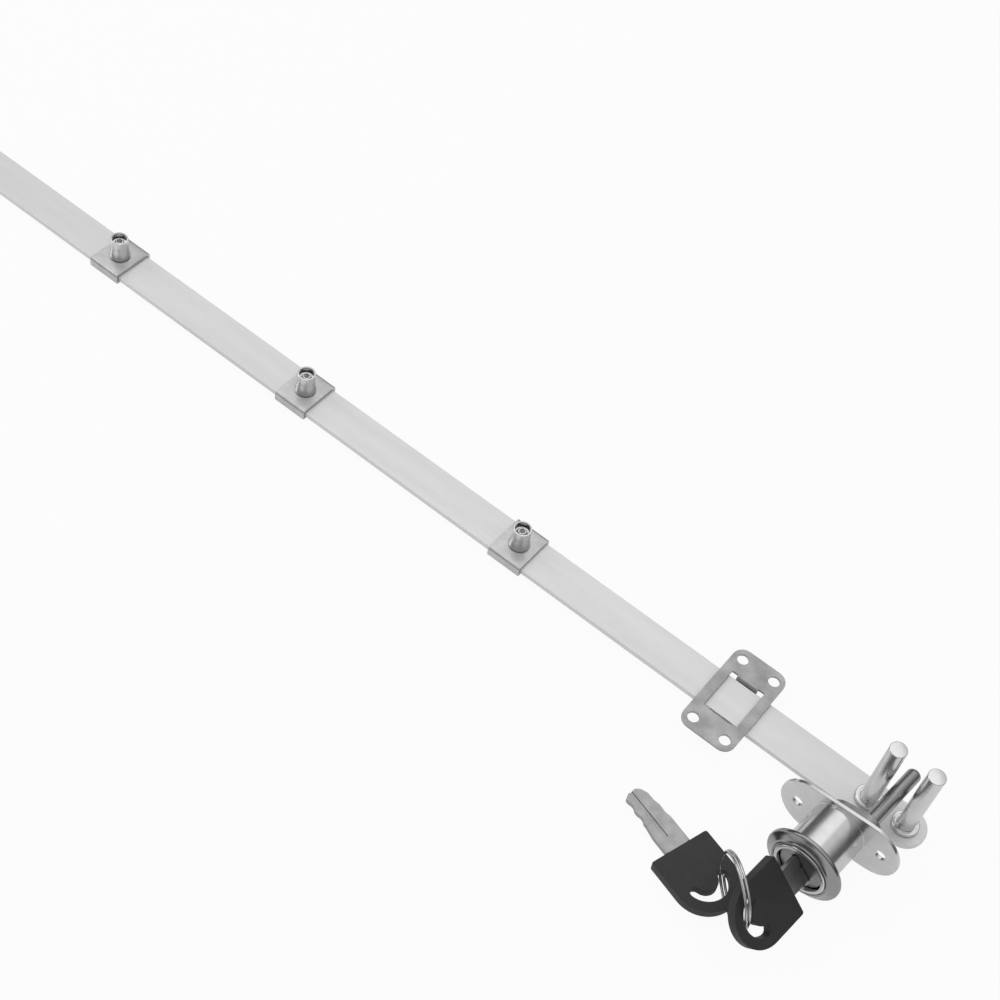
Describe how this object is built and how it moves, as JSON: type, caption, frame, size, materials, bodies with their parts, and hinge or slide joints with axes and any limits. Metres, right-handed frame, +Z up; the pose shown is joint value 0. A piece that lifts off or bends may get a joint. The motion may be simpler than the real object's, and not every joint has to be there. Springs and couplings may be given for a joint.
{
  "type": "multi-drawer lock",
  "caption": "Multi-drawer lock laid out flat: flanged barrel lock with cam pin, long locking bar with drive pins and catch clips, guide plate, keys on a split ring.",
  "frame": {"origin": "bottom centre of the bounding box, on the surface that the bar clips and the trim ring lie on", "axes": "+X along the locking bar towards the end with the two drive pins, +Y across the bar away from the key, +Z up"},
  "size_m": [0.45, 0.0932, 0.0353],
  "materials": {
    "bar_plate": "satin zinc-plated flat steel",
    "clip_plate": "dull zinc-plated sheet steel",
    "bright_plate": "bright nickel plate",
    "dull_zinc": "dull plated zinc alloy",
    "spring_steel": "bare spring and key steel",
    "wafer_brass": "stamped brass",
    "black_plastic": "moulded black plastic"
  },
  "bodies": {
    "housing": {"lock_housing": "bright_plate", "trim_ring": "bright_plate", "guide_plate": "clip_plate", "split_ring": "bright_plate", "spare_key_blade": "spring_steel", "spare_key_bow": "black_plastic"},
    "plug": {"lock_plug": "bright_plate", "wafer_1": "wafer_brass", "wafer_2": "wafer_brass", "wafer_3": "wafer_brass", "wafer_4": "wafer_brass", "wafer_5": "wafer_brass", "wafer_spring_1": "spring_steel", "wafer_spring_2": "spring_steel", "wafer_spring_3": "spring_steel", "wafer_spring_4": "spring_steel", "wafer_spring_5": "spring_steel", "cam_disc": "dull_zinc", "cam_pin": "bright_plate", "cam_screw": "spring_steel", "key_blade": "spring_steel", "key_bow": "black_plastic"},
    "bar": {"lock_bar": "bar_plate", "bar_pin_inner": "bright_plate", "bar_pin_outer": "bright_plate", "bar_clip_1": "clip_plate", "bar_clip_2": "clip_plate", "bar_clip_3": "clip_plate", "catch_pin_1": "bright_plate", "catch_pin_2": "bright_plate", "catch_pin_3": "bright_plate", "set_screw_1": "dull_zinc", "set_screw_2": "dull_zinc", "set_screw_3": "dull_zinc"}
  },
  "joints": [
    {"name": "plug_turn", "type": "hinge", "parent": "housing", "child": "plug", "pos_m": [0.20124, -0.00547, 0.0135], "axis": [-0.0872, -0.9962, 0], "range_deg": [0, 90]},
    {"name": "bar_slide", "type": "slide", "parent": "housing", "child": "bar", "axis": [-1, 0, 0], "range_m": [0, 0.01149]}
  ],
  "couplings": [
    {"joint": "plug_turn", "follows": "bar_slide", "rad_per_m": 136.7}
  ]
}
